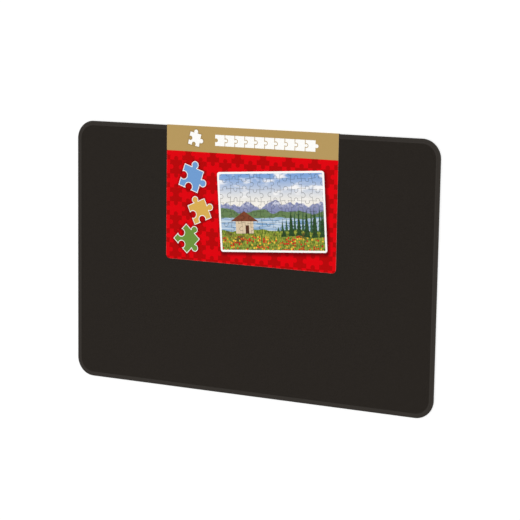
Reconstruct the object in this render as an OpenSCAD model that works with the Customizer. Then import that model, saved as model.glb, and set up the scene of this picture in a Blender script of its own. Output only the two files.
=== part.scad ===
// Jigsaw puzzle board with its folded card, lying face up.
// A grey-board core has felt glued to both faces. A woven tape is folded over the edge all round and sewn
// through the layers, and a printed card is folded over the top edge.
// X runs along the board's width, +Y to its top edge, and +Z out of the puzzle face.
// The origin is under the middle of the board, on the surface that the part lies on.

/* [Board] */
// Width of the board over its binding
board_w = 765; // [500:1:1000]
// Height of the board over its binding, from its bottom edge to its top edge
board_h = 510; // [400:1:700]
// Corner radius of the board over its binding
corner_r = 36; // [20:0.5:60]

/* [Layers] */
// Thickness of the grey-board core
core_t = 2; // [1.5:0.1:5]
// Thickness of each glue film
glue_t = 0.1; // [0.05:0.01:0.2]
// Thickness of the puzzle felt where nothing presses it
front_felt_t = 0.8; // [0.6:0.05:2]
// Thickness of the backing felt where nothing presses it
rear_felt_t = 0.7; // [0.6:0.05:2]
// Depth to which the sewn binding presses each felt
felt_press = 0.3; // [0.1:0.05:0.5]

/* [Binding] */
// Width of the tape on each face, from the board's outer edge
binding_w = 8.7; // [6:0.1:14]
// Thickness of the tape
tape_t = 0.4; // [0.3:0.05:0.8]
// Radius of the folded tape's nose at each face
nose_r = 1.6; // [1:0.1:2]
// Gap between the core's edge and the inside of the nose
nose_gap = 0.1; // [0.05:0.01:0.3]
// Gap between the tape's inner edge and the unpressed felt
felt_gap = 0.25; // [0.1:0.05:1]

/* [Seam] */
// Distance of the seam from the tape's inner edge
seam_inset = 2; // [1:0.1:4]
// Width of the thread as it lies in the tape
thread_w = 0.6; // [0.3:0.05:1]
// Height of the thread as it lies in the tape
thread_t = 0.2; // [0.1:0.05:0.25]
// Gap beside the thread in its groove
thread_gap = 0.05; // [0.02:0.01:0.1]

/* [Card] */
// Width of the card along the board's top edge
card_w = 362; // [150:1:420]
// Distance of the card's lower edge below the board's top edge
card_drop = 257.5; // [100:0.5:360]
// Thickness of the card
card_t = 0.5; // [0.3:0.05:1]
// Radius of the card's lower corners
card_corner_r = 8; // [2:0.5:20]
// Place of the card's middle to the right of the board's middle
card_shift = 2.5; // [-20:0.5:20]
// Gap between the card and the binding
card_gap = 0.3; // [0.2:0.05:1]

/* [Hidden] */

// Round shapes are cut finely enough to show smooth
$fn = 96;
// Reach of a cutter past the face that it opens
past = 1;

// Levels from the table upwards, as the pieces lie on each other
rear_panel_z = 0;
binding_z0 = rear_panel_z + card_t + card_gap;
rear_felt_z = binding_z0 + tape_t;
rear_glue_z = rear_felt_z + rear_felt_t - felt_press;
core_z = rear_glue_z + glue_t;
front_glue_z = core_z + core_t;
front_felt_z = front_glue_z + glue_t;
front_felt_pressed_z = front_felt_z + front_felt_t - felt_press;
binding_z1 = front_felt_pressed_z + tape_t;
front_panel_z = binding_z1 + card_gap;

// The nose is at most a half circle over the binding's whole thickness
round_r = min(nose_r, (binding_z1 - binding_z0) / 2 - 0.05);
slot_r = round_r - tape_t;

// Insets from the board's outer edge
seam_at = binding_w - seam_inset;
field_inset = binding_w + felt_gap;

// Least inset of a square corner that lies this deep under the tape's leg, inside the round nose
function nose_inset(deep) = round_r - sqrt(pow(slot_r, 2) - pow(max(0, slot_r - deep), 2));

felt_inset = nose_inset(0) + nose_gap;
core_inset = nose_inset(min(front_felt_t, rear_felt_t) - felt_press + glue_t) + nose_gap;

// The card's inner fold lines lie on this level of Y
crease_y = board_h / 2 + card_gap;
card_low_y = board_h / 2 - card_drop;

felt_colour = [0.165, 0.149, 0.133];
tape_colour = [0.220, 0.204, 0.188];
thread_colour = [0.190, 0.175, 0.160];
board_colour = [0.56, 0.53, 0.48];
glue_colour = [0.86, 0.83, 0.74];
card_red = [0.871, 0.008, 0.051];
card_gold = [0.710, 0.592, 0.369];

// The board's outline, moved in from its outer edge
module outline(inset) {
    w = board_w - 2 * inset;
    h = board_h - 2 * inset;
    r = corner_r - inset;
    square([w, h - 2 * r], center = true);
    square([w - 2 * r, h], center = true);
    for (x = [-1, 1], y = [-1, 1])
        translate([x * (w / 2 - r), y * (h / 2 - r)]) circle(r);
}

// A flat layer of the board
module layer(inset, z, t) {
    translate([0, 0, z]) linear_extrude(t) outline(inset);
}

// Carries a section round the board's edge. The section's X is the distance in from the edge, its Y the level
module around_edge() {
    for (side = [0:3]) {
        across = side % 2 == 0 ? board_h : board_w;
        run = (side % 2 == 0 ? board_w : board_h) - 2 * corner_r;
        rotate(90 * side) {
            rotate([90, 0, 90]) linear_extrude(run, center = true)
                translate([across / 2, 0]) mirror([1, 0]) children();
            translate([run / 2, across / 2 - corner_r, 0]) rotate_extrude(angle = 90)
                translate([corner_r, 0]) mirror([1, 0]) children();
        }
    }
}

// A strip's section with two round corners on its outer side
module nosed(from, to, low, high, r) {
    translate([from, low + r]) square([to - from, high - low - 2 * r]);
    translate([from + r, low]) square([to - from - r, high - low]);
    for (y = [low + r, high - r]) translate([from + r, y]) circle(r);
}

// The cut for the groove that a seam presses into the tape, upwards from a level
module seam_groove(low) {
    w = thread_w + 2 * thread_gap;
    translate([seam_at - w / 2, low]) square([w, thread_t + past]);
}

module tape_section() {
    difference() {
        nosed(0, binding_w, binding_z0, binding_z1, round_r);
        nosed(tape_t, binding_w + past, binding_z0 + tape_t, binding_z1 - tape_t, slot_r);
        seam_groove(binding_z1 - thread_t);
        seam_groove(binding_z0 - past);
    }
}

module thread_section(low) {
    translate([seam_at - thread_w / 2, low]) square([thread_w, thread_t]);
}

// One panel of the card, with its lower corners rounded
module card_panel(z) {
    straight = card_w - 2 * card_corner_r;
    translate([card_shift, 0, z]) linear_extrude(card_t) {
        translate([-card_w / 2, card_low_y + card_corner_r])
            square([card_w, crease_y - card_low_y - card_corner_r]);
        translate([-straight / 2, card_low_y]) square([straight, card_corner_r]);
        for (x = [-1, 1])
            translate([x * straight / 2, card_low_y + card_corner_r]) circle(card_corner_r);
    }
}

module core_board() {
    color(board_colour) layer(core_inset, core_z, core_t);
}

module front_glue_film() {
    color(glue_colour) layer(felt_inset, front_glue_z, glue_t);
}

module rear_glue_film() {
    color(glue_colour) layer(felt_inset, rear_glue_z, glue_t);
}

// The puzzle felt: its margin is pressed thin under the tape
module front_felt() {
    color(felt_colour) {
        layer(felt_inset, front_felt_z, front_felt_t - felt_press);
        layer(field_inset, front_felt_z, front_felt_t);
    }
}

// The backing felt, pressed in the same way
module rear_felt() {
    color(felt_colour) {
        layer(felt_inset, rear_felt_z, rear_felt_t - felt_press);
        layer(field_inset, rear_felt_z - felt_press, rear_felt_t);
    }
}

module edge_binding() {
    color(tape_colour) around_edge() tape_section();
}

// The thread on the puzzle face
module needle_thread() {
    color(thread_colour) around_edge() thread_section(binding_z1 - thread_t);
}

// The thread on the back
module bobbin_thread() {
    color(thread_colour) around_edge() thread_section(binding_z0);
}

// The strip of card over the board's top edge, between the two folds
module card_spine() {
    low = rear_panel_z + card_t;
    color(card_gold) translate([card_shift - card_w / 2, crease_y, low])
        cube([card_w, card_t, front_panel_z - low]);
}

module card_front_panel() {
    color(card_red) card_panel(front_panel_z);
}

module card_rear_panel() {
    color(card_red) card_panel(rear_panel_z);
}

core_board();
front_glue_film();
rear_glue_film();
front_felt();
rear_felt();
edge_binding();
needle_thread();
bobbin_thread();
card_spine();
card_front_panel();
card_rear_panel();
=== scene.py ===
import math

import bmesh
import bpy
import numpy as np
from mathutils import Matrix, Vector


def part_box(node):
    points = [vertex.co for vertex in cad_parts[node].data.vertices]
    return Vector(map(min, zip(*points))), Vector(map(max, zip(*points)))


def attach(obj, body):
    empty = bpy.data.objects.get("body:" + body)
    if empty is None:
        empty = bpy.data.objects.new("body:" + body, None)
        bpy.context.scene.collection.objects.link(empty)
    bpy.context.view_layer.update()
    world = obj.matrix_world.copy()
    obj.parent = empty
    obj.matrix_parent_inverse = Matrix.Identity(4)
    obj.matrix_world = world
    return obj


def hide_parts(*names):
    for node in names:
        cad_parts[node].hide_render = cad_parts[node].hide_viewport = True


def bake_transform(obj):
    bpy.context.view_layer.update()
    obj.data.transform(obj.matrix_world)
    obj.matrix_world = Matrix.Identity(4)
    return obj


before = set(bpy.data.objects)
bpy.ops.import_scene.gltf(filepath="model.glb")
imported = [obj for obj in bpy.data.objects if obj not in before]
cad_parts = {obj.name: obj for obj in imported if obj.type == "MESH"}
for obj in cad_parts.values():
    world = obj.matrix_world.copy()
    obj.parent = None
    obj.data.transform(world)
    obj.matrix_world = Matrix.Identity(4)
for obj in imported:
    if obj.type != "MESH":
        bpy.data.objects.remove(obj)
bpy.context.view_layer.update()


# Studio: a white table under a soft lamp and a bright room, seen from the photograph's viewpoint.
# The table's white is topped up for the camera alone, so the board's shadow stays on it.

class Tone:
    """A socket of a material. Arithmetic on it adds Math nodes, and node() adds a node of any other type."""

    def __init__(self, tree, socket=None):
        self.tree = tree
        self.socket = socket

    def node(self, kind, settings=None, sockets=None, out=0):
        """Adds a node, makes its settings, fills or links its sockets, and returns one of its outputs."""
        made = self.tree.nodes.new("ShaderNode" + kind)
        for name, value in (settings or {}).items():
            setattr(made, name, value)
        for name, value in (sockets or {}).items():
            if isinstance(value, Tone):
                self.tree.links.new(value.socket, made.inputs[name])
            else:
                made.inputs[name].default_value = value
        return Tone(self.tree, made.outputs[out] if len(made.outputs) else None)

    def maths(self, operation, first, second=0.0):
        return self.node("Math", {"operation": operation}, {0: first, 1: second})

    def __add__(self, other):
        return self.maths("ADD", self, other)

    def __radd__(self, other):
        return self.maths("ADD", other, self)

    def __sub__(self, other):
        return self.maths("SUBTRACT", self, other)

    def __rsub__(self, other):
        return self.maths("SUBTRACT", other, self)

    def __mul__(self, other):
        return self.maths("MULTIPLY", self, other)

    def __rmul__(self, other):
        return self.maths("MULTIPLY", other, self)

    def __truediv__(self, other):
        return self.maths("DIVIDE", self, other)

    def __mod__(self, other):
        return self.maths("FLOORED_MODULO", self, other)

    def __abs__(self):
        return self.maths("ABSOLUTE", self)

    def __floor__(self):
        return self.maths("FLOOR", self)

    def __lt__(self, other):
        return self.maths("LESS_THAN", self, other)

    def __gt__(self, other):
        return self.maths("GREATER_THAN", self, other)


def new_finish(name):
    """An empty material, and the tone that its nodes start from."""
    material = bpy.data.materials.new(name)
    material.use_nodes = True
    material.node_tree.nodes.clear()
    return material, Tone(material.node_tree)


def larger(first, second):
    return first.maths("MAXIMUM", first, second)


room_light = 0.4
room = bpy.data.worlds.new("room")
room.use_nodes = True
room.node_tree.nodes.clear()
air = Tone(room.node_tree)
seen = air.node("LightPath", out="Is Camera Ray")
mirrored = air.node("LightPath", out="Is Glossy Ray")
passed = air.node("LightPath", out="Is Transmission Ray")
brightness = room_light + (1 - room_light) * larger(larger(seen, mirrored), passed)
backdrop = air.node("Background", sockets={"Color": (1, 1, 1, 1), "Strength": brightness})
air.node("OutputWorld", sockets={"Surface": backdrop})
bpy.context.scene.world = room

lamp_light = 0.6
lamp_spread = math.radians(14)
lamp_distance = 3
lamp_towards = Vector((0.40, 0.22, 0.89)).normalized()
bpy.ops.object.select_all(action="DESELECT")
bpy.ops.object.light_add(type="SUN", location=lamp_towards * lamp_distance)
lamp = bpy.context.object
lamp.name = "soft_lamp"
lamp.rotation_mode = "QUATERNION"
lamp.rotation_quaternion = lamp_towards.to_track_quat("Z", "Y")
lamp.data.energy = lamp_light * math.pi / lamp_towards.z
lamp.data.angle = lamp_spread

table_size = 12
table_gap = 0.0003
table_white = (0.95, 0.95, 0.95, 1)
table_top_up = 0.12
bpy.ops.mesh.primitive_plane_add(size=table_size, location=(0, 0, -table_gap))
table = bpy.context.object
table.name = "white_table"
white_top, start = new_finish("white_top")
plain = start.node("BsdfDiffuse", sockets={"Color": table_white})
for_camera = start.node("LightPath", out="Is Camera Ray") * table_top_up
glow = start.node("Emission", sockets={"Color": (1, 1, 1, 1), "Strength": for_camera})
lit = start.node("AddShader", sockets={0: plain, 1: glow})
start.node("OutputMaterial", sockets={"Surface": lit})
table.data.materials.append(white_top)

eye = Vector((1.5082839, 0.50239283, 2.88743159))
aim = Vector((0.02309208, 0.00926975, 0.0))
roll = math.radians(0.8571)
look = (aim - eye).normalized()
level = look.cross(Vector((0, 1, 0))).normalized()
upright = level.cross(look)
turn = Matrix((level, upright, -look)).transposed() @ Matrix.Rotation(roll, 3, "Z")
bpy.ops.object.camera_add(location=eye, rotation=turn.to_euler())
camera = bpy.context.object
camera.data.sensor_width = 36
camera.data.lens = 120.541
camera.data.clip_end = 50
bpy.context.scene.camera = camera
bpy.context.scene.view_settings.view_transform = "Standard"


# Core: a sheet of grey board pressed from waste paper, die-cut with round corners.
# The felts cover both its faces and the tape its edge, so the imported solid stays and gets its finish.

def paint(red, green, blue):
    """A colour as a screen shows it, from 0 to 255, as the shader takes it."""
    shown = [value / 255 for value in (red, green, blue)]
    linear = [v / 12.92 if v <= 0.04045 else ((v + 0.055) / 1.055) ** 2.4 for v in shown]
    return (*linear, 1.0)


def blended(first, second, share):
    """The first colour where share is 0, the second where it is 1."""
    return share.node("Mix", {"data_type": "RGBA"}, {0: share, 6: first, 7: second}, out=2)


def cloudy(place, scale, detail=2.0):
    """Soft noise from 0 to 1, with this many lumps to a metre."""
    settings = {"noise_dimensions": "3D"}
    return place.node("TexNoise", settings, {"Vector": place, "Scale": scale, "Detail": detail})


def bumped(height, distance):
    """The normal of a surface that rises by distance where height is 1."""
    return height.node("Bump", sockets={"Height": height, "Distance": distance, "Strength": 1.0})


def surface(start, sockets):
    """Ends a material in one surface with these values."""
    shader = start.node("BsdfPrincipled", sockets=sockets)
    start.node("OutputMaterial", sockets={"Surface": shader})


grey_board, start = new_finish("grey_board")
place = start.node("TexCoord", out="Object")
pulp = cloudy(place, 900, 4)
specks = cloudy(place, 420, 1) > 0.66
colour = blended(paint(134, 127, 116), paint(150, 143, 131), pulp)
colour = blended(colour, paint(104, 98, 92), specks * 0.5)
surface(start, {
    "Base Color": colour,
    "Roughness": 0.95,
    "Specular IOR Level": 0.1,
    "Normal": bumped(pulp, 0.0001),
})
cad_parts["core_board"].data.materials[0] = grey_board


# Glue: a film of white glue rolled on each face of the core, dried to a dull yellowish skin.
# It is hidden between the core and the felts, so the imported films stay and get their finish.

def stretched(place, along, across, turned):
    """The place turned in the board's plane, then scaled apart, so that noise on it runs in fibres."""
    sockets = {"Vector": place, "Rotation": (0, 0, turned), "Scale": (1 / along, 1 / across, 1)}
    return place.node("Mapping", {"vector_type": "TEXTURE"}, sockets)


dried_glue, start = new_finish("dried_glue")
place = start.node("TexCoord", out="Object")
streaks = cloudy(stretched(place, 6, 220, 0.0), 1, 3)
surface(start, {
    "Base Color": blended(paint(212, 204, 180), paint(224, 218, 198), streaks),
    "Roughness": 0.45 + streaks * 0.25,
    "Normal": bumped(streaks, 0.00005),
})
for film in ("front_glue_film", "rear_glue_film"):
    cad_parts[film].data.materials[0] = dried_glue


# Felts: needled felt glued to both faces, on the front to hold the puzzle and on the rear as a backing.
# Each is cut to the core's outline. The sewn tape presses its margin thin, and inside the tape it rolls up
# to its full height.

def begin_plane(name, middle, width, length):
    """A flat sheet of this size, left open in edit mode."""
    bpy.ops.object.select_all(action="DESELECT")
    bpy.ops.mesh.primitive_plane_add(size=1)
    piece = bpy.context.object
    piece.name = name
    bpy.ops.object.mode_set(mode="EDIT")
    bpy.ops.transform.resize(value=(width, length, 1))
    bpy.ops.transform.translate(value=middle)
    return piece


def fade(value, zero, one):
    """A smooth step from 0 to 1 between two values."""
    sockets = {"Value": value, "From Min": zero, "From Max": one}
    return value.node("MapRange", {"interpolation_type": "SMOOTHSTEP"}, sockets)


needled_felt, start = new_finish("needled_felt")
place = start.node("TexCoord", out="Object")
strand_turns = (0.2, 0.7, 1.2, 1.8, 2.3, 2.9)
mat = cloudy(place, 1100, 3)
strands = mat * 0.2
for turned in strand_turns:
    strand = cloudy(stretched(place, 300, 7000, turned), 1, 0)
    strands = larger(strands, fade(strand, 0.55, 0.75))
nap = mat * 0.6 + strands * 0.4
drift = cloudy(place, 28, 2)
colour = blended(paint(25, 21, 18), paint(41, 37, 33), mat)
colour = blended(colour, paint(61, 56, 51), strands * 0.5)
colour = blended(colour, paint(43, 39, 35), drift * 0.2)
surface(start, {
    "Base Color": colour,
    "Roughness": 1.0,
    "Specular IOR Level": 0.0,
    "Sheen Weight": 0.02,
    "Sheen Roughness": 0.5,
    "Normal": bumped(nap, 0.0003),
})

felt_radius = 0.0343
felt_corner_steps = 20
felt_press = 0.0003
felt_crisp = math.radians(40)
tape_cover = 0.0070
# From the tape's inner edge inwards: the width of a step, and the share of the press that it wins back
felt_roll = ((0.00008, 0.2), (0.0001, 0.25), (0.0002, 0.3), (0.0003, 0.15), (0.0005, 0.1), (0.004, 0.0))
for node, side in (("front_felt", 1), ("rear_felt", -1)):
    low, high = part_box(node)
    width = high.x - low.x
    length = high.y - low.y
    glued_z, open_z = (low.z, high.z) if side > 0 else (high.z, low.z)
    thin = abs(open_z - glued_z) - felt_press
    felt = begin_plane(node + "_cloth", (0, 0, glued_z), width, length)
    bpy.ops.mesh.bevel(offset=felt_radius, affect="VERTICES", segments=felt_corner_steps, profile=0.5)
    if side < 0:
        bpy.ops.mesh.flip_normals()
    bpy.ops.mesh.extrude_region_move(TRANSFORM_OT_translate={"value": (0, 0, side * thin)})
    bpy.ops.mesh.inset(thickness=tape_cover)
    for step, rise in felt_roll:
        bpy.ops.mesh.inset(thickness=step, depth=rise * felt_press)
    bpy.ops.mesh.select_all(action="SELECT")
    bpy.ops.mesh.normals_make_consistent(inside=False)
    bpy.ops.object.mode_set(mode="OBJECT")
    bpy.ops.object.shade_smooth_by_angle(angle=felt_crisp)
    felt.data.materials.append(needled_felt)
    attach(felt, "board")
    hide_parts(node)


# Edge binding: a ribbed woven tape, folded over the board's edge all round and sewn through every layer.
# It is one length whose ends meet under the card. Each stitch pulls it down, and it gathers at the corners.

tape_low, tape_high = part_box("edge_binding")
card_low, card_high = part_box("card_front_panel")
card_middle = (card_low.x + card_high.x) / 2
corner_radius = 0.036
tape_width = 0.0087
tape_thickness = 0.0004
nose_radius = 0.0016
seam_from_edge = 0.0067
seam_x = tape_high.x - seam_from_edge
seam_y = tape_high.y - seam_from_edge
seam_radius = corner_radius - seam_from_edge
inner_x = seam_x - seam_radius
inner_y = seam_y - seam_radius

# The line of the seam, clockwise from the middle of the card, which the tape and its threads follow
path_data = bpy.data.curves.new("seam_line", "CURVE")
path_data.dimensions = "2D"
path_data.resolution_u = 48
seam_line = bpy.data.objects.new("seam_line", path_data)
bpy.context.collection.objects.link(seam_line)
corners = [
    (card_middle, seam_y), (inner_x, seam_y), (seam_x, inner_y), (seam_x, -inner_y), (inner_x, -seam_y),
    (-inner_x, -seam_y), (-seam_x, -inner_y), (-seam_x, inner_y), (-inner_x, seam_y),
]
arc_starts = (1, 3, 5, 7)
round_handle = 4 / 3 * (math.sqrt(2) - 1) * seam_radius
spline = path_data.splines.new("BEZIER")
spline.bezier_points.add(len(corners) - 1)
spline.use_cyclic_u = True
for point, corner in zip(spline.bezier_points, corners):
    point.co = (*corner, 0)
    point.handle_left_type = "FREE"
    point.handle_right_type = "FREE"
for at, point in enumerate(spline.bezier_points):
    after = spline.bezier_points[(at + 1) % len(corners)]
    if at in arc_starts:
        before = spline.bezier_points[at - 1]
        beyond = spline.bezier_points[(at + 2) % len(corners)]
        point.handle_right = point.co + (point.co - before.co).normalized() * round_handle
        after.handle_left = after.co + (after.co - beyond.co).normalized() * round_handle
    else:
        point.handle_right = point.co.lerp(after.co, 1 / 3)
        after.handle_left = point.co.lerp(after.co, 2 / 3)
seam_length = spline.calc_length()


def pick(piece, test):
    """In edit mode, selects the vertices whose place passes a test, with the edges and faces between them."""
    bpy.ops.mesh.select_mode(type="VERT")
    bpy.ops.mesh.select_all(action="DESELECT")
    cage = bmesh.from_edit_mesh(piece.data)
    for vertex in cage.verts:
        vertex.select_set(bool(test(vertex.co)))
    cage.select_flush(True)
    bmesh.update_edit_mesh(piece.data)


# One stitch of the folded tape: its front leg, spun round the edge to the rear leg
stitches = 765
join_gap = 0.0004
stitch = (seam_length - join_gap) / stitches
half_stitch = stitch / 2
leg_inner = seam_from_edge - tape_width
leg_outer = seam_from_edge - nose_radius
leg = leg_outer - leg_inner
wall = tape_high.z - tape_low.z - 2 * nose_radius
board_middle_z = (tape_low.z + tape_high.z) / 2
nose_steps = 3
# Distances within which a point counts as on a line, and two points are merged
touch = 1e-5
weld = 1e-6
tape = begin_plane("binding_tape", (half_stitch, (leg_inner + leg_outer) / 2, tape_high.z), stitch, leg)
pick(tape, lambda p: p.y > leg_outer - touch)
front_turn = (0, leg_outer, tape_high.z - nose_radius)
bpy.ops.mesh.spin(steps=nose_steps, angle=math.pi / 2, center=front_turn, axis=(1, 0, 0))
bpy.ops.mesh.extrude_region_move(TRANSFORM_OT_translate={"value": (0, 0, -wall)})
rear_turn = (0, leg_outer, tape_low.z + nose_radius)
bpy.ops.mesh.spin(steps=nose_steps, angle=math.pi / 2, center=rear_turn, axis=(1, 0, 0))
bpy.ops.mesh.extrude_region_move(TRANSFORM_OT_translate={"value": (0, -leg, 0)})
dimple_edge = 0.00055
crown = 0.0027
for y in (-dimple_edge, 0.0, dimple_edge, crown):
    bpy.ops.mesh.select_all(action="SELECT")
    bpy.ops.mesh.bisect(plane_co=(0, y, 0), plane_no=(0, 1, 0))
bpy.ops.mesh.select_all(action="SELECT")
bpy.ops.mesh.bisect(plane_co=(half_stitch, 0, 0), plane_no=(1, 0, 0))
bpy.ops.mesh.select_all(action="SELECT")
bpy.ops.mesh.remove_doubles(threshold=weld)
# Distance from the seam, and how deep the tape is drawn down there: at a needle hole, and between two holes
drawn_down = (
    (0.0, 0.00028, 0.00016),
    (dimple_edge, 0.00003, 0.00001),
    (-dimple_edge, 0.00002, 0.0),
    (crown, -0.00002, -0.00005),
    (leg_inner, 0.00002, 0.0),
)
for y, at_hole, between in drawn_down:
    for side in (1, -1):
        for middle, depth in ((False, at_hole), (True, between)):
            pick(tape, lambda p: abs(p.y - y) < touch and (p.z - board_middle_z) * side > 0
                 and (abs(p.x - half_stitch) < touch) == middle)
            bpy.ops.transform.translate(value=(0, 0, -side * depth))
bpy.ops.mesh.select_all(action="SELECT")
bpy.ops.mesh.normals_make_consistent(inside=False)
bpy.ops.object.mode_set(mode="OBJECT")


def thickened(piece, thickness):
    """Gives a sheet its thickness, on its inner side."""
    sheet = piece.modifiers.new("thickness", "SOLIDIFY")
    sheet.thickness = thickness
    sheet.offset = -1
    sheet.use_even_offset = True
    return sheet


def in_a_row(piece, step):
    """Repeats a stitch's mesh along X, once for each stitch of the seam."""
    row = piece.modifiers.new("row", "ARRAY")
    row.count = stitches
    row.use_relative_offset = False
    row.use_constant_offset = True
    row.constant_offset_displace = (step, 0, 0)
    row.use_merge_vertices = True
    row.merge_threshold = weld


def along_the_seam(piece):
    """Bends a straight row of stitches round the board."""
    bend = piece.modifiers.new("bend", "CURVE")
    bend.object = seam_line
    bend.deform_axis = "POS_X"


def finish_modifiers(piece):
    """Applies a piece's modifiers in their order."""
    bpy.ops.object.select_all(action="DESELECT")
    piece.select_set(True)
    bpy.context.view_layer.objects.active = piece
    for modifier in list(piece.modifiers):
        bpy.ops.object.modifier_apply(modifier=modifier.name)


def corner_points(piece):
    """The places of a mesh's vertices, and the vertex of each corner of its faces, face by face."""
    places = np.empty(len(piece.data.vertices) * 3)
    piece.data.vertices.foreach_get("co", places)
    owners = np.empty(len(piece.data.loops), int)
    piece.data.loops.foreach_get("vertex_index", owners)
    return places.reshape(-1, 3), owners


def lay_map(piece, name, points):
    """Gives a piece a map with these points, one for each corner of its faces."""
    piece.data.uv_layers.new(name=name).uv.foreach_set("vector", np.ravel(points))


in_a_row(tape, stitch)
finish_modifiers(tape)

# Maps of the tape: along and across it in metres for the weave, and cut into rows for the bake
flat_wall = wall / 2
round_nose = nose_radius * math.pi / 2
half_across = flat_wall + round_nose + leg
places, owners = corner_points(tape)
face_side = np.where(places[:, 2] > board_middle_z, 1.0, -1.0)
above = np.abs(places[:, 2] - board_middle_z)
past_nose = places[:, 1] - leg_outer
tiny = 1e-7
bent = np.arctan2(np.maximum(above - flat_wall, 0), np.maximum(past_nose, tiny))
on_nose = np.where(above <= flat_wall, above, flat_wall + nose_radius * bent)
across = np.where(past_nose <= tiny, flat_wall + round_nose - past_nose, on_nose) * face_side
lay_map(tape, "weave", np.stack([places[owners, 0], across[owners]], 1))
bake_rows = 11
row_stitches = math.ceil(stitches / bake_rows)
counted = places[owners, 0].reshape(-1, 4) / stitch
row = np.floor(counted.mean(1) / row_stitches)[:, None]
along_row = (counted - row * row_stitches) / row_stitches
across_row = (across[owners].reshape(-1, 4) + half_across) / (2 * half_across)
lay_map(tape, "OFBake", np.stack([along_row, (row + across_row) / bake_rows], 2))

# Gathers: at the corners the tape's inner edge has to shorten, so it rises in small waves
gather = 0.00016
gather_stitches = 3
quarter = seam_radius * math.pi / 2
run_x = 2 * inner_x
run_y = 2 * inner_y
corner_start = inner_x - card_middle
wave = np.sin(2 * math.pi * places[:, 0] / (gather_stitches * stitch))
loose = np.clip(places[:, 1] / leg_inner, 0, 1) * (past_nose < 0)
for run in (run_y, run_x, run_y, 0.0):
    share = np.clip((places[:, 0] - corner_start) / quarter, 0, 1)
    places[:, 2] += face_side * gather * wave * np.sin(math.pi * share) * loose
    corner_start += quarter + run
tape.data.vertices.foreach_set("co", places.ravel())
tape.data.transform(Matrix.Translation((join_gap / 2, 0, 0)))
tape.data.update()

tape_crisp = math.radians(50)
thickened(tape, tape_thickness)
along_the_seam(tape)
finish_modifiers(tape)
bpy.ops.object.shade_smooth_by_angle(angle=tape_crisp)


def map_axis(start, uv_map, axis):
    """One axis of a piece's own map."""
    mapped = start.node("UVMap", {"uv_map": uv_map})
    return start.node("SeparateXYZ", sockets={"Vector": mapped}, out=axis)


def waves(value, length):
    """Even waves from 0 to 1, each of this length."""
    return value.maths("SINE", value * (2 * math.pi / length)) * 0.5 + 0.5


rib = 0.0008
warp = rib * 0.75
woven_tape, start = new_finish("woven_tape")
over = map_axis(start, "weave", "Y")
weave = waves(map_axis(start, "weave", "X"), rib) * 0.7 + waves(over, warp) * 0.3
fuzz = cloudy(start.node("TexCoord", out="Object"), 1300, 3)
worn = fade(abs(over), 0.0026, 0.0006) * 0.35
colour = blended(paint(49, 45, 41), paint(60, 56, 52), weave * 0.7 + fuzz * 0.3)
colour = blended(colour, paint(66, 62, 58), worn * fuzz)
surface(start, {
    "Base Color": colour,
    "Roughness": 0.92,
    "Specular IOR Level": 0.04,
    "Sheen Weight": 0.02,
    "Sheen Roughness": 0.4,
    "Normal": bumped(weave * 0.8 + fuzz * 0.2, 0.00012),
})
tape.data.materials.append(woven_tape)
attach(tape, "board")
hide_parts("edge_binding")


# Seam: a lockstitch in spun polyester, the needle thread on the front and the bobbin thread on the rear.
# Each thread lies in the tape from hole to hole and dives through the layers there to lock with the other.

thread_sides = 6
thread_half_width = 0.00026
thread_half_height = 0.00015
thread_weld = 3e-5
# Share of a stitch's length, and the thread's height over the tape's face there
thread_rise = ((0.0, -0.00034), (0.15, -0.00013), (0.5, -0.00003), (0.85, -0.00013), (1.0, -0.00034))
closed_stitch = seam_length / stitches

# The thread's map runs along one stitch and round it. The plies wind round the thread in whole turns
lap_height = 5 / 6
twists = 5
winds = 2
spun_thread, start = new_finish("spun_thread")
wound = map_axis(start, "OFBake", "X") * twists + map_axis(start, "OFBake", "Y") * (winds / lap_height)
plies = waves(wound, 1.0)
surface(start, {
    "Base Color": blended(paint(50, 46, 43), paint(66, 62, 58), plies),
    "Roughness": 0.75,
    "Specular IOR Level": 0.1,
    "Normal": bumped(plies, 0.00006),
})

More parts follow.
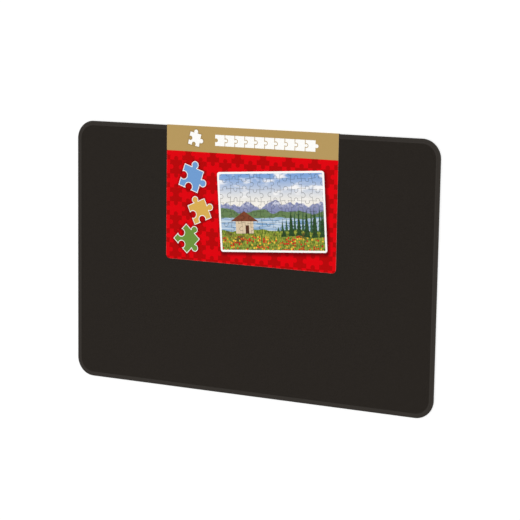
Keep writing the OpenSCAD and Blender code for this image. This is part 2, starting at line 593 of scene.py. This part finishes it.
for node, face_z, side in (("needle_thread", tape_high.z, 1), ("bobbin_thread", tape_low.z, -1)):
    bpy.ops.object.select_all(action="DESELECT")
    bpy.ops.mesh.primitive_circle_add(vertices=thread_sides, radius=1, rotation=(0, math.pi / 2, 0))
    thread = bpy.context.object
    thread.name = node + "_stitches"
    bpy.ops.object.transform_apply(location=True, rotation=True, scale=True)
    bpy.ops.object.mode_set(mode="EDIT")
    bpy.ops.mesh.select_mode(type="VERT")
    bpy.ops.mesh.select_all(action="SELECT")
    bpy.ops.transform.resize(value=(1, thread_half_width, thread_half_height))
    bpy.ops.transform.translate(value=(0, 0, face_z + side * thread_rise[0][1]))
    for before, after in zip(thread_rise, thread_rise[1:]):
        step = ((after[0] - before[0]) * closed_stitch, 0, side * (after[1] - before[1]))
        bpy.ops.mesh.extrude_region_move(TRANSFORM_OT_translate={"value": step})
    bpy.ops.mesh.select_all(action="SELECT")
    bpy.ops.mesh.normals_make_consistent(inside=False)
    bpy.ops.object.mode_set(mode="OBJECT")
    places, owners = corner_points(thread)
    heights = np.interp(places[:, 0] / closed_stitch, *np.transpose(thread_rise))
    beside = places[:, 1] / thread_half_width
    above = (places[:, 2] - face_z - side * heights) / thread_half_height
    angle = np.arctan2(above, beside) / (2 * math.pi) % 1.0
    around = angle[owners].reshape(-1, 4)
    closing = (around.max(1) - around.min(1) > 0.5)[:, None] & (around < 0.5)
    around = np.where(closing, around + 1, around)
    lay_map(thread, "OFBake", np.stack([places[owners, 0] / closed_stitch, around.ravel() * lap_height], 1))
    in_a_row(thread, closed_stitch)
    along_the_seam(thread)
    finish_modifiers(thread)
    bpy.ops.object.mode_set(mode="EDIT")
    bpy.ops.mesh.select_all(action="SELECT")
    bpy.ops.mesh.remove_doubles(threshold=thread_weld)
    bpy.ops.mesh.normals_make_consistent(inside=False)
    bpy.ops.object.mode_set(mode="OBJECT")
    bpy.ops.object.shade_smooth()
    thread.data.materials.append(spun_thread)
    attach(thread, "board")
    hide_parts(node)
bpy.data.objects.remove(seam_line)


# Card: one sheet of printed and varnished cardboard, folded at two creases over the board's top edge.
# It is made as two halves that meet in the middle of its spine, each folded at its own crease.

card_half_width = (card_high.x - card_low.x) / 2
spine_low, spine_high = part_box("card_spine")
spine_middle = (spine_low.z + spine_high.z) / 2
card_thickness = card_high.z - card_low.z
inner_fold = 0.0001
fold_radius = card_thickness + inner_fold
fold_y = spine_high.y - fold_radius


def smaller(first, second):
    return first.maths("MINIMUM", first, second)


def reach(x, y):
    """The distance of a point from the origin."""
    joined = x.node("CombineXYZ", sockets={"X": x, "Y": y})
    return x.node("VectorMath", {"operation": "LENGTH"}, {0: joined}, out="Value")


def turned_about(x, y, centre, angle):
    """A point's place seen from a centre, in axes turned by an angle."""
    x = x - centre[0]
    y = y - centre[1]
    cosine = math.cos(angle)
    sine = math.sin(angle)
    return x * cosine + y * sine, y * cosine - x * sine


# A piece of a jigsaw is a unit square, with knobs on two of its sides and recesses for knobs in the others
knob_radius = 0.17
knob_shift = 0.11
neck_half_width = math.sqrt(knob_radius ** 2 - knob_shift ** 2)


def knob(x, y):
    """The depth inside a knob and its neck, which stand out along X from a side at X = 0."""
    ball = knob_radius - reach(x - knob_shift, y)
    neck = smaller(neck_half_width - abs(y), knob_shift - abs(x))
    return larger(ball, neck)


def recess(x, y):
    """The distance from a recess for a neighbour's knob, cut in against X from a side at X = 0."""
    return reach(x + knob_shift, y) - knob_radius


def interlocked(x, y):
    """Pieces of a jigsaw, one to each unit square: a square's parity, 0 or 1, and the depth inside its piece.
    Every other piece is turned by a quarter, so that each knob lies in a neighbour's recess."""
    column = math.floor(x)
    line = math.floor(y)
    side = abs(x - column - 0.5)
    end = abs(y - line - 0.5)
    odd = (column + line) % 2
    to_knobs = side + (end - side) * odd
    to_recesses = end + (side - end) * odd
    depth = larger(0.5 - larger(side, end), knob(to_knobs - 0.5, to_recesses))
    return odd, smaller(depth, recess(to_recesses - 0.5, to_knobs))


def loose_piece(x, y):
    """The depth inside one piece of a jigsaw a unit wide, with two knobs and two recesses."""
    depth = 0.5 - larger(abs(x), abs(y))
    depth = larger(depth, knob(x - 0.5, y))
    depth = larger(depth, knob(-0.5 - y, x))
    depth = smaller(depth, recess(-0.5 - x, y))
    return smaller(depth, recess(y - 0.5, x))


def ridge(x, scale, seed):
    """A rough line over X, from 0 to 1."""
    return x.node("TexNoise", {"noise_dimensions": "1D"}, {"W": x + seed, "Scale": scale, "Detail": 3.0})


def landscape(x, y, flat):
    """A lake below hills, with firs, a hut and a flowering meadow. X and Y run from -1 to 1, Y downwards."""
    grain = cloudy(flat, 160, 4)
    soft = 0.01
    # Sky: blue above and pale below, with clouds
    colour = blended(paint(118, 160, 214), paint(243, 238, 228), fade(y, -1.0, -0.15))
    clouds = cloudy(stretched(flat, 1.0, 2.6, 0.0), 22, 4)
    colour = blended(colour, paint(252, 250, 248), fade(clouds, 0.5, 0.66) * 0.9)
    # Hills: a far range with snow on it, and a wooded one before it
    far = -0.52 + ridge(x, 2.2, 3.7) * 0.62
    snowy = fade(grain, 0.45, 0.6) * fade(y, -0.05, -0.3)
    peaks = blended(paint(134, 140, 178), paint(226, 226, 236), snowy)
    colour = blended(colour, peaks, fade(y - far, -soft, soft))
    near = -0.22 + ridge(x, 1.6, 11.3) * 0.42
    woods = blended(paint(72, 104, 74), paint(124, 146, 92), grain)
    colour = blended(colour, woods, fade(y - near, -soft, soft))
    # Lake: level ripples from its far shore down
    ripple = cloudy(stretched(flat, 4, 60, 0.0), 6, 2)
    lake = blended(paint(120, 158, 196), paint(206, 220, 232), fade(ripple, 0.35, 0.65))
    shore = 0.10 + ridge(x, 2.4, 5.1) * 0.1
    colour = blended(colour, lake, fade(y - shore, -0.008, 0.008))
    # Meadow: tufts of grass and bare earth from the near bank down
    bank = 0.30 + ridge(x, 1.3, 8.2) * 0.3
    tufts = cloudy(stretched(flat, 3.0, 1.0, 0.0), 150, 4)
    meadow = blended(paint(66, 100, 34), paint(172, 178, 70), fade(tufts, 0.3, 0.7))
    meadow = blended(meadow, paint(92, 70, 42), fade(cloudy(flat, 34, 3), 0.56, 0.66) * 0.8)
    colour = blended(colour, meadow, fade(y - bank, -soft, soft))
    # Flowers: red and yellow dots in scattered cells of the meadow
    scattered = {"voronoi_dimensions": "2D"}
    cells = {"Vector": flat, "Scale": 230.0}
    from_middle = flat.node("TexVoronoi", scattered, cells)
    cell_colour = flat.node("TexVoronoi", scattered, cells, out="Color")
    chance = flat.node("SeparateColor", sockets={"Color": cell_colour}, out="Red")
    petals = blended(paint(204, 48, 34), paint(240, 196, 66), fade(chance, 0.7, 0.85))
    dots = fade(from_middle, 0.5, 0.4) * fade(chance, 0.52, 0.56) * fade(y - bank, 0.12, 0.2)
    colour = blended(colour, petals, dots)
    # Firs: two rows of trees on the bank, each of its own height, with boughs that widen downwards
    for count, seed, tall, foot, dark, light in (
        (13.0, 4.0, 0.72, 0.02, paint(44, 78, 58), paint(70, 104, 72)),
        (7.0, 17.0, 1.0, 0.16, paint(24, 50, 32), paint(60, 92, 48)),
    ):
        tree = math.floor(x * count)
        chance = x.node("TexWhiteNoise", {"noise_dimensions": "1D"}, {"W": tree + seed}, out="Value")
        height = tall * (0.6 + chance * 0.4) * fade(tree / count, -0.1, 0.5)
        down = (y - bank - foot) / larger(height, 0.02) + 1
        boughs = down * (0.32 + (down * 6) % 1 * 0.16)
        beside = abs(x * count - tree - 0.5)
        fir = fade(boughs - beside, 0.0, 0.04) * fade(down, 0.0, 0.01) * fade(down, 1.01, 1.0)
        colour = blended(colour, blended(dark, light, grain), fir * fade(tree, 0.5, 1.0))
    # Hut: pale walls with a door under a brown roof, on the near bank to the left
    hut_side = abs(x + 0.52)
    walls = fade(hut_side, 0.17, 0.165) * fade(y, 0.22, 0.225) * fade(y, 0.54, 0.535)
    planks = blended(paint(206, 180, 146), paint(232, 214, 186), ridge(x, 60.0, 2.0))
    colour = blended(colour, planks, walls)
    roof = fade(hut_side * 0.95 - (y + 0.02), 0.005, -0.005) * fade(y, 0.235, 0.23)
    colour = blended(colour, blended(paint(96, 50, 34), paint(142, 80, 54), grain), roof)
    door = fade(abs(x + 0.47), 0.035, 0.032) * fade(y, 0.33, 0.335) * fade(y, 0.54, 0.535)
    return blended(colour, paint(84, 50, 34), door)


# The print is laid out in millimetres, across from the card's middle and down from the fold
mm_per_metre = 1000
gold = paint(181, 151, 94)
bright_red = paint(222, 2, 13)
deep_red = paint(180, 4, 6)
clean_white = paint(252, 251, 248)
gold_depth = 48.8
panel_depth = (spine_high.y - card_low.y) * mm_per_metre
half_card = card_half_width * mm_per_metre
ground_cell = 26.7


def scattered_pieces(colour, x, y):
    """Three loose pieces at the left in the picture's colours, each with a pale rim and a soft shadow."""
    for centre, angle, width, shade in (
        ((-127.0, 100.0), 0.32, 44.0, paint(112, 156, 208)),
        ((-108.0, 163.0), -0.42, 40.0, paint(216, 172, 84)),
        ((-136.0, 217.0), 0.75, 41.0, paint(110, 146, 62)),
    ):
        piece_x, piece_y = turned_about(x, y, centre, angle)
        depth = loose_piece(piece_x / width, piece_y / width)
        colour = blended(colour, paint(96, 0, 4), fade(depth, -0.14, 0.04) * 0.75)
        rim = blended(shade, clean_white, fade(depth, 0.036, 0.024))
        colour = blended(colour, rim, fade(depth, -0.006, 0.006))
    return colour


picture_half_width = 112.0
picture_half_height = 76.0
picture_corner = 5
picture_centre = (46.0, 153.0)
picture_tilt = math.radians(-4)
picture_shadow = (2.5, 4)
cut_width = 21.6
cut_height = 21.0
cut_sway = 7


def past_picture(x, y):
    """How far a point lies outside the picture's outline, which has round corners."""
    beside = larger(abs(x) - picture_half_width + picture_corner, 0.0)
    below = larger(abs(y) - picture_half_height + picture_corner, 0.0)
    return reach(beside, below) - picture_corner


def cut_picture(colour, x, y, flat):
    """The landscape at the right, a little askew in a white margin, and cut into pieces that all differ."""
    x, y = turned_about(x, y, picture_centre, picture_tilt)
    under = past_picture(x - picture_shadow[0], y - picture_shadow[1])
    colour = blended(colour, paint(84, 0, 4), fade(under, 7.0, -2.0) * 0.8)
    picture_flat = flat.node("CombineXYZ", sockets={"X": x / mm_per_metre, "Y": y / mm_per_metre})
    scene = landscape(x / picture_half_width, y / picture_half_height, picture_flat)
    sockets = {"Vector": flat, "Scale": 36.0, "Detail": 0.0}
    swaying = flat.node("TexNoise", {"noise_dimensions": "2D"}, sockets, out="Color")
    sway = flat.node("SeparateColor", sockets={"Color": swaying}, out="Red")
    lean = flat.node("SeparateColor", sockets={"Color": swaying}, out="Green")
    cut_x = (x + (sway - 0.5) * cut_sway) / cut_width
    cut_y = (y + (lean - 0.5) * cut_sway) / cut_height
    depth = interlocked(cut_x, cut_y)[1]
    scene = blended(scene, paint(40, 34, 28), fade(abs(depth), 0.03, 0.012) * 0.6)
    outside = past_picture(x, y)
    scene = blended(clean_white, scene, fade(outside, -3.6, -4.2))
    return blended(colour, scene, fade(outside, 0.25, -0.25))


strip_middle = 25.0
strip_cell = 21.0
strip_count = 10.0
strip_shift = 3.6
next_width = 24.0
next_centre = (-120.0, strip_middle)
next_tilt = 0.22


def strip_of_pieces(x, y):
    """The gold band with a strip of white pieces along it, and the next piece still apart from the strip."""
    along = x / strip_cell + strip_shift
    up = (y - strip_middle) / strip_cell
    from_middle = abs(along - strip_count / 2)
    strip = 0.5 - larger(from_middle - (strip_count - 1) / 2, abs(up))
    strip = smaller(larger(strip, knob(along - strip_count, up)), recess(0 - along, up))
    from_cut = along - math.floor(along + 0.5)
    cut = abs(larger(0 - from_cut, knob(from_cut, up)))
    inner = from_middle < (strip_count - 1) / 2
    shown = fade(strip, -0.01, 0.01) * (1 - fade(cut, 0.045, 0.02) * inner)
    band = blended(gold, clean_white, shown)
    next_x, next_y = turned_about(x, y, next_centre, next_tilt)
    depth = loose_piece(next_x / next_width, next_y / next_width)
    band = blended(band, paint(120, 96, 52), fade(depth, -0.14, 0.04) * 0.6)
    return blended(band, clean_white, fade(depth, -0.01, 0.01))


def printed(name, with_picture):
    """The card's printed face: a gold band at the fold, then a ground of interlocked pieces in two reds."""
    material, start = new_finish(name)
    x = map_axis(start, "print", "X") * mm_per_metre
    y = map_axis(start, "print", "Y") * mm_per_metre
    flat = start.node("UVMap", {"uv_map": "print"})
    odd, depth = interlocked(x / ground_cell + 0.5, y / ground_cell + 0.5)
    colour = blended(deep_red, bright_red, fade(depth * (1 - 2 * odd), -0.012, 0.012))
    band = gold
    if with_picture:
        colour = scattered_pieces(colour, x, y)
        colour = cut_picture(colour, x, y, flat)
        band = strip_of_pieces(x, y)
    colour = blended(band, colour, fade(y, gold_depth - 0.2, gold_depth + 0.2))
    # Wear: the ink cracks along the crease and rubs off at the cut edges
    creased = fade(abs(y), 0.7, 0.1)
    rubbed = fade(larger(abs(x) - half_card, y - panel_depth), -0.9, 0.0)
    worn = larger(creased, rubbed) * fade(cloudy(flat, 1400, 3), 0.5, 0.62)
    colour = blended(colour, paint(226, 218, 206), worn * 0.35)
    ink = cloudy(flat, 500, 2)
    surface(start, {
        "Base Color": colour,
        "Roughness": 0.34 + ink * 0.1,
        "Specular IOR Level": 0.05,
        "Normal": bumped(ink, 0.00003),
    })
    return material


bare_card, start = new_finish("bare_card")
fleck = cloudy(start.node("UVMap", {"uv_map": "print"}), 700, 4)
# The score along the crease: a pressed-in bump, and a mask for painted shade in it
score_and_painted_shade = fade(abs(map_axis(start, "print", "Y") * mm_per_metre), 1.1, 0.6)
colour = blended(paint(206, 202, 194), paint(226, 223, 216), fleck)
surface(start, {
    # Painted shade: the bare card is darkened along the score line, as if shade fell in the crease
    "Base Color": blended(colour, paint(168, 162, 152), score_and_painted_shade * 0.7),
    "Roughness": 0.9,
    "Specular IOR Level": 0.1,
    "Normal": bumped(fleck * 0.2 + score_and_painted_shade, 0.0002),
})

cut_edge, start = new_finish("cut_edge")
layers = cloudy(stretched(start.node("TexCoord", out="Object"), 200, 200, 0.0), 3, 2)
surface(start, {
    "Base Color": blended(paint(132, 124, 115), paint(160, 152, 142), layers),
    "Roughness": 0.95,
    "Specular IOR Level": 0.1,
})

card_corner = 0.008
card_corner_steps = 10
fold_steps = 4
card_crisp = math.radians(40)
# The ends of the bend at a crease: how far past the fold's axis, and how deep under the panel's face
bend_on_spine = (0.0004, 0.0009)
bend_on_panel = (-0.0002, 0.0003)
# Shares of the bake: the print over most of it, then a strip for the bare side and a patch for the cut edge
print_half_width = 0.496
print_from = 0.14
print_height = 0.856
bare_from = 0.01
bare_share = 0.11
patch_from = (0.1, 0.116)
patch_size = (0.02, 0.014)
for name, face_z, side, finish in (
    ("card_front", card_high.z, 1, printed("printed_front", True)),
    ("card_rear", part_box("card_rear_panel")[0].z, -1, printed("printed_rear", False)),
):
    middle = (card_middle, (fold_y + card_low.y) / 2, face_z)
    card = begin_plane(name, middle, 2 * card_half_width, fold_y - card_low.y)
    if side < 0:
        bpy.ops.mesh.flip_normals()
    pick(card, lambda p: p.y < card_low.y + touch)
    bpy.ops.mesh.bevel(offset=card_corner, affect="VERTICES", segments=card_corner_steps, profile=0.5)
    pick(card, lambda p: p.y > fold_y - touch)
    fold = (0, fold_y, face_z - side * fold_radius)
    bpy.ops.mesh.spin(steps=fold_steps, angle=side * math.pi / 2, center=fold, axis=(1, 0, 0))
    bpy.ops.mesh.extrude_region_move(TRANSFORM_OT_translate={"value": (0, 0, spine_middle - fold[2])})
    bpy.ops.object.mode_set(mode="OBJECT")
    # Maps of the card: the print in metres from the fold down, and the sheet's share of the bake
    places, owners = corner_points(card)
    down = (spine_high.y - places[:, 1]) - side * (face_z - places[:, 2])
    beside = places[:, 0] - card_middle
    lay_map(card, "print", np.stack([beside, down], 1)[owners])
    bake_u = 0.5 + print_half_width * beside / card_half_width
    bake_v = print_from + print_height * (down.max() - down) / (down.max() - down.min())
    lay_map(card, "OFBake", np.stack([bake_u, bake_v], 1)[owners])
    for material in (finish, bare_card, cut_edge):
        card.data.materials.append(material)
    sheet = thickened(card, card_thickness)
    sheet.material_offset = 1
    sheet.material_offset_rim = 2
    finish_modifiers(card)
    bake = card.data.uv_layers["OFBake"].uv
    for face in card.data.polygons:
        for turn_at, at in enumerate(face.loop_indices):
            if face.material_index == 1:
                u, v = bake[at].vector
                bake[at].vector = (u, bare_from + (v - print_from) * bare_share)
            elif face.material_index == 2:
                u = patch_from[0] + patch_size[0] * (turn_at in (1, 2))
                v = patch_from[1] + patch_size[1] * (turn_at in (2, 3))
                bake[at].vector = (u, v)
    bpy.ops.object.shade_smooth_by_angle(angle=card_crisp)
    on_spine = (0, fold_y + bend_on_spine[0], face_z - side * bend_on_spine[1])
    on_panel = (0, fold_y + bend_on_panel[0], face_z - side * bend_on_panel[1])
    if side > 0:
        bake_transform(card)
        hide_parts("card_front_panel", "card_spine")
    else:
        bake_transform(card)
        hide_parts("card_rear_panel")
